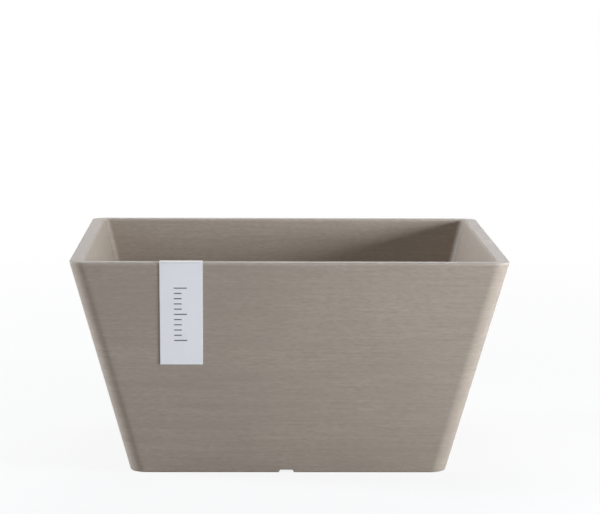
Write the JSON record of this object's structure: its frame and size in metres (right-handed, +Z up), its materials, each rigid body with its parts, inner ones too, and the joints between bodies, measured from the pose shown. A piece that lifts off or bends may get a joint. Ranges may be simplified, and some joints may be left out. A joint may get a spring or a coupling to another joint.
{
  "type": "square plant pot",
  "caption": "Square tapered plant pot with a flat rim, a notched foot, a rubber drain plug and a folded card band over the rim.",
  "frame": {"origin": "on the ground under the middle of the pot", "axes": "+Z up; -Y is the front, where the card band hangs left of the middle; +X to the right seen from the front"},
  "size_m": [0.2996, 0.3004, 0.1528],
  "materials": {
    "shell_plastic": "warm grey-taupe moulded plastic with fine level brush lines, matt",
    "plug_rubber": "moulded black rubber, matt",
    "band_card": null
  },
  "bodies": {
    "pot": {"pot_shell": "shell_plastic"},
    "plug": {"drain_plug": "plug_rubber"},
    "band": {"label_band": "band_card"}
  },
  "joints": [
    {"name": "plug_lift", "type": "slide", "parent": "pot", "child": "plug", "axis": [0, 0, 1], "range_m": [0, 0.03]},
    {"name": "label_lift", "type": "slide", "parent": "pot", "child": "band", "axis": [0, -0.2545, 0.9671], "range_m": [0, 0.09]}
  ]
}
